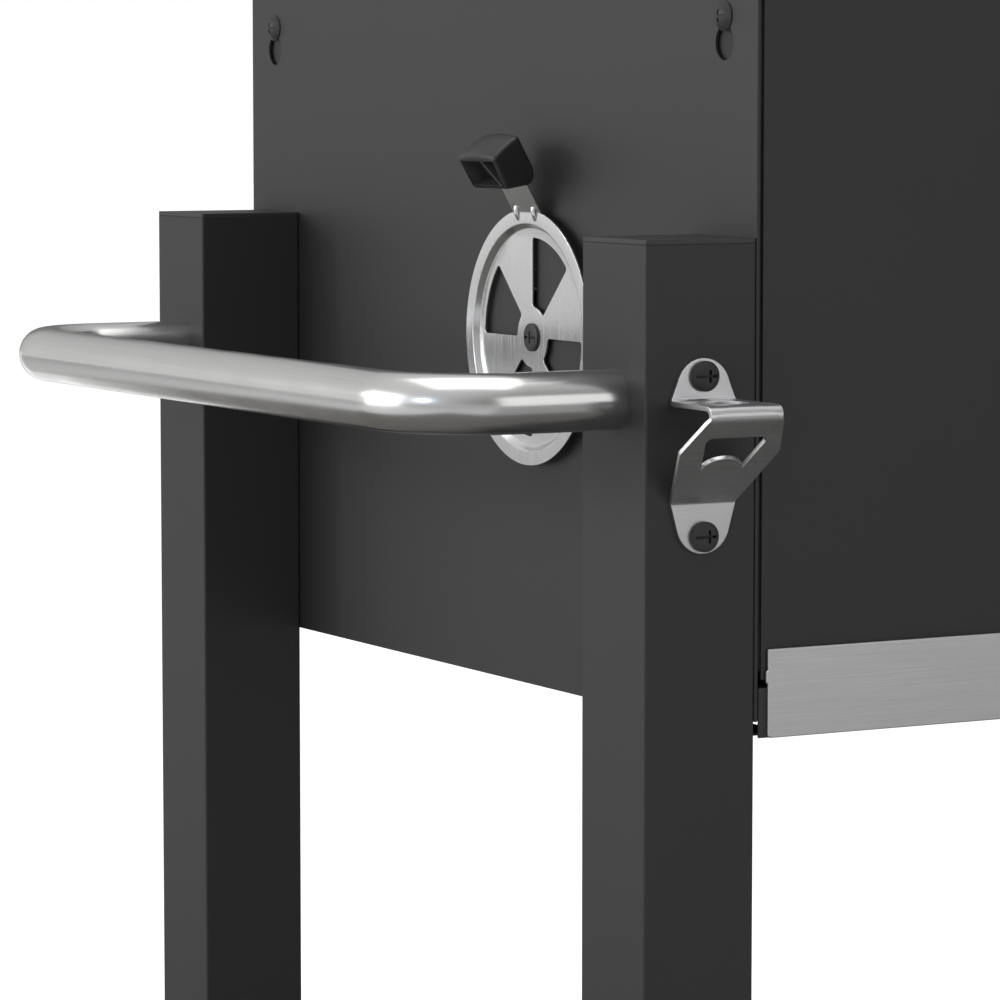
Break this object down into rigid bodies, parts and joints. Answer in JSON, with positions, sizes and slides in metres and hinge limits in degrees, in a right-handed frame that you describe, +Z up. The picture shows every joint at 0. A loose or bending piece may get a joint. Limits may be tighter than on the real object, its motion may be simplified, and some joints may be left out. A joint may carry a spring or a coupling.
{
  "type": "charcoal grill cart",
  "caption": "Open charcoal grill: a deep firebox on square tube legs, with a push handle, vent dampers, an ash drawer, a bottle opener and two wheels.",
  "frame": {"origin": "on the ground, under the middle of the whole grill, from the handle's grip to the tyres' outer side", "axes": "+X away from the handle, along the length; +Y to the back, away from the drawer; +Z up"},
  "size_m": [0.8586, 0.5658, 0.8215],
  "materials": {
    "charcoal_coat": "matt powder coat with a fine grain",
    "cap_plastic": "moulded, matt",
    "foot_rubber": "matt",
    "tyre_rubber": "matt, fine tread",
    "wheel_plastic": "moulded, satin",
    "firebox_enamel": "matt heat-proof paint",
    "polished_steel": "polished stainless steel",
    "brushed_strip": "brushed along its length",
    "stamped_steel": "stamped, fine brushed",
    "opener_steel": "satin, tumbled edges",
    "knob_plastic": "moulded, satin black",
    "black_rod": "satin black",
    "grate_iron": "black oxide on rod",
    "dark_screw": "black zinc",
    "zinc_screw": "bright zinc"
  },
  "bodies": {
    "grill": {"leg_front_left": "charcoal_coat", "leg_rear_left": "charcoal_coat", "leg_front_right": "charcoal_coat", "leg_rear_right": "charcoal_coat", "side_panel_left": "charcoal_coat", "side_panel_right": "charcoal_coat", "front_panel": "charcoal_coat", "back_panel": "charcoal_coat", "bottom_shelf": "charcoal_coat", "shelf_cross_bars": "charcoal_coat", "shelf_end_bars": "charcoal_coat", "leg_caps": "cap_plastic", "leg_bottom_caps": "cap_plastic", "foot_pads": "foot_rubber", "firebox_tub": "firebox_enamel", "drawer_runners": "firebox_enamel", "grate_rails": "firebox_enamel", "pan_brackets": "firebox_enamel", "handle_tube": "polished_steel", "bottle_opener": "opener_steel", "hook_screws": "dark_screw", "opener_screws": "dark_screw", "damper_bolts": "dark_screw", "leg_bolts": "zinc_screw", "shelf_bolts": "zinc_screw", "handle_bolts": "zinc_screw", "leg_nuts": "zinc_screw", "shelf_nuts": "zinc_screw", "panel_nuts": "zinc_screw", "hook_nuts": "zinc_screw", "opener_nuts": "zinc_screw", "damper_nuts": "zinc_screw", "axle": "zinc_screw", "axle_washers": "zinc_screw", "axle_nuts": "zinc_screw", "handle_plugs": "zinc_screw"},
    "damper_l": {"damper_left": "stamped_steel", "damper_knob_left": "knob_plastic"},
    "damper_r": {"damper_right": "stamped_steel", "damper_knob_right": "knob_plastic"},
    "ash_drawer": {"drawer_tray": "firebox_enamel", "drawer_front": "brushed_strip", "drawer_pull": "black_rod", "pull_screws": "zinc_screw"},
    "grate_l": {"cooking_grate_left": "grate_iron"},
    "grate_r": {"cooking_grate_right": "grate_iron"},
    "pan": {"charcoal_pan": "firebox_enamel"},
    "coal_grate": {"charcoal_grate": "grate_iron"},
    "wheel_f": {"wheel_front": "wheel_plastic", "tyre_front": "tyre_rubber"},
    "wheel_b": {"wheel_rear": "wheel_plastic", "tyre_rear": "tyre_rubber"}
  },
  "joints": [
    {"name": "damper_left_turn", "type": "hinge", "parent": "grill", "child": "damper_l", "pos_m": [-0.28675, -0.0525, 0.6426], "axis": [1, 0, 0], "range_deg": [0, 45]},
    {"name": "damper_right_turn", "type": "hinge", "parent": "grill", "child": "damper_r", "pos_m": [0.31525, -0.0525, 0.6426], "axis": [1, 0, 0], "range_deg": [0, 45]},
    {"name": "ash_drawer_slide", "type": "slide", "parent": "grill", "child": "ash_drawer", "axis": [0, -1, 0], "range_m": [0, 0.3]},
    {"name": "grate_left_lift", "type": "slide", "parent": "grill", "child": "grate_l", "axis": [0, 0, 1], "range_m": [0, 0.15]},
    {"name": "grate_right_lift", "type": "slide", "parent": "grill", "child": "grate_r", "axis": [0, 0, 1], "range_m": [0, 0.15]},
    {"name": "pan_lift", "type": "slide", "parent": "grill", "child": "pan", "axis": [0, 0, 1], "range_m": [0, 0.1]},
    {"name": "coal_grate_lift", "type": "slide", "parent": "pan", "child": "coal_grate", "axis": [0, 0, 1], "range_m": [0, 0.05]},
    {"name": "wheel_front_spin", "type": "hinge", "parent": "grill", "child": "wheel_f", "pos_m": [0.33925, -0.2517, 0.09], "axis": [0, 1, 0], "continuous": true},
    {"name": "wheel_rear_spin", "type": "hinge", "parent": "grill", "child": "wheel_b", "pos_m": [0.33925, 0.2517, 0.09], "axis": [0, 1, 0], "continuous": true}
  ]
}
